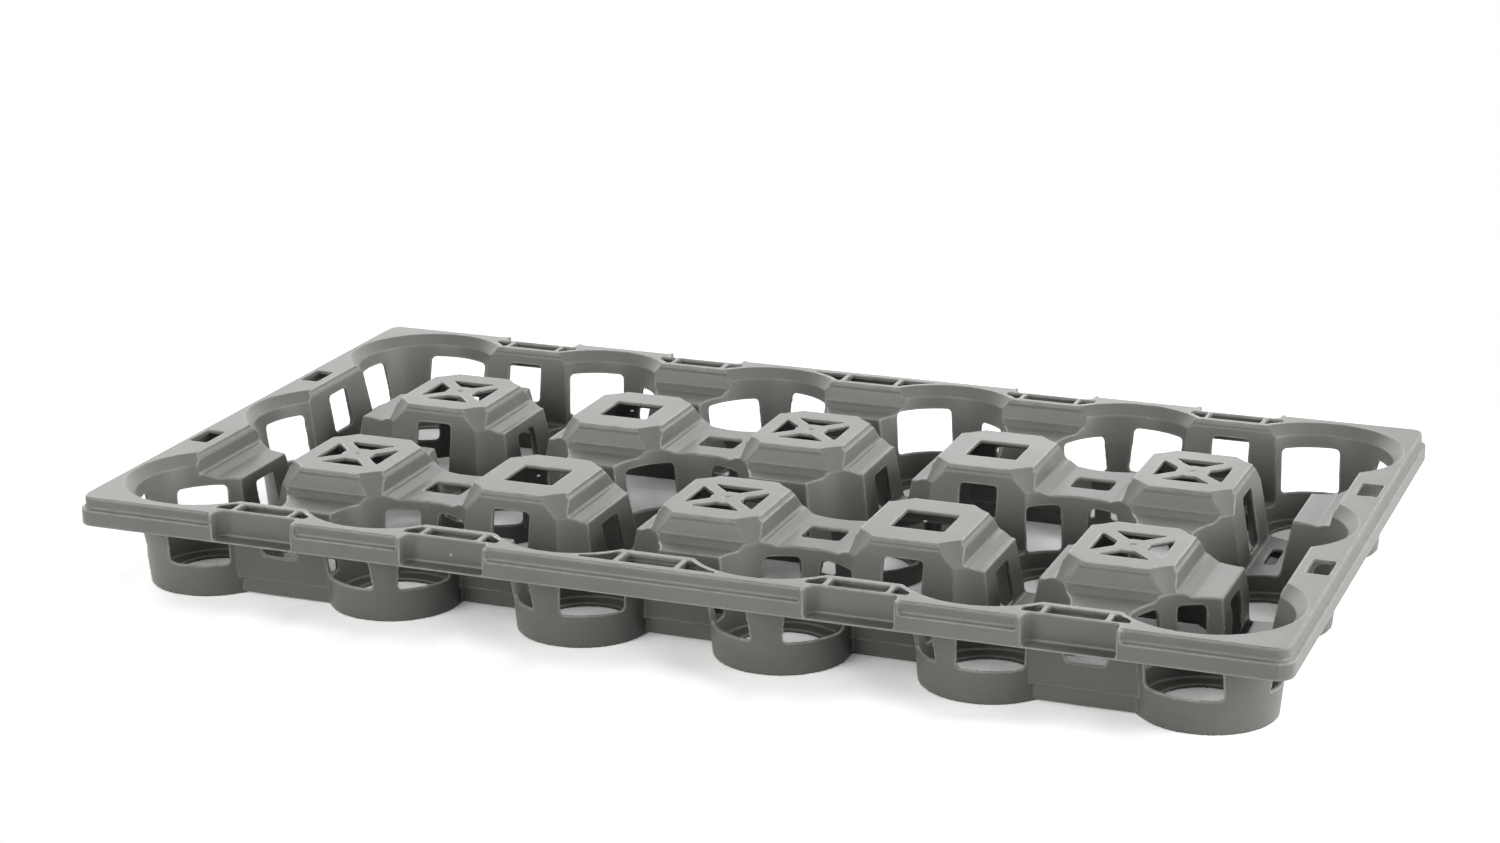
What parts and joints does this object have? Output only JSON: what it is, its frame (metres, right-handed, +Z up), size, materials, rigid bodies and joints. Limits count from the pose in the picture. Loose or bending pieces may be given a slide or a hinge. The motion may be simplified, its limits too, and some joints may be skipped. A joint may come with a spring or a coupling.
{
  "type": "seed tray",
  "caption": "Rectangular plant carrying tray with open round cells, hollow stepped turrets between them and a stepped rim with slots and ribs.",
  "frame": {"origin": "on the ground plane, below the middle of the tray", "axes": "+X along the tray's length, +Y across it from the front long side to the back one, +Z up"},
  "size_m": [0.562, 0.3144, 0.048],
  "materials": {
    "moulding": "satin grey recycled polypropylene, moulded in one shot"
  },
  "bodies": {
    "root": {"cup_a1": "moulding", "cup_a2": "moulding", "cup_a3": "moulding", "cup_a4": "moulding", "cup_a5": "moulding", "cup_a6": "moulding", "cup_b1": "moulding", "cup_b2": "moulding", "cup_b3": "moulding", "cup_b4": "moulding", "cup_b5": "moulding", "cup_b6": "moulding", "cup_c1": "moulding", "cup_c2": "moulding", "cup_c3": "moulding", "cup_c4": "moulding", "cup_c5": "moulding", "cup_c6": "moulding", "turret_a1": "moulding", "turret_a2": "moulding", "turret_a3": "moulding", "turret_a4": "moulding", "turret_a5": "moulding", "turret_b1": "moulding", "turret_b2": "moulding", "turret_b3": "moulding", "turret_b4": "moulding", "turret_b5": "moulding", "bridge_a1": "moulding", "bridge_a3": "moulding", "bridge_b2": "moulding", "bridge_b4": "moulding", "front_pilaster_1": "moulding", "front_pilaster_2": "moulding", "front_pilaster_3": "moulding", "front_pilaster_4": "moulding", "front_pilaster_5": "moulding", "back_pilaster_1": "moulding", "back_pilaster_2": "moulding", "back_pilaster_3": "moulding", "back_pilaster_4": "moulding", "back_pilaster_5": "moulding", "left_shoulder": "moulding", "left_panel": "moulding", "right_shoulder": "moulding", "right_panel": "moulding", "front_rail": "moulding", "back_rail": "moulding", "left_rail": "moulding", "right_rail": "moulding", "front_neck_floors": "moulding", "middle_neck_floors": "moulding", "back_neck_floors": "moulding", "end_neck_floors": "moulding"}
  },
  "joints": []
}
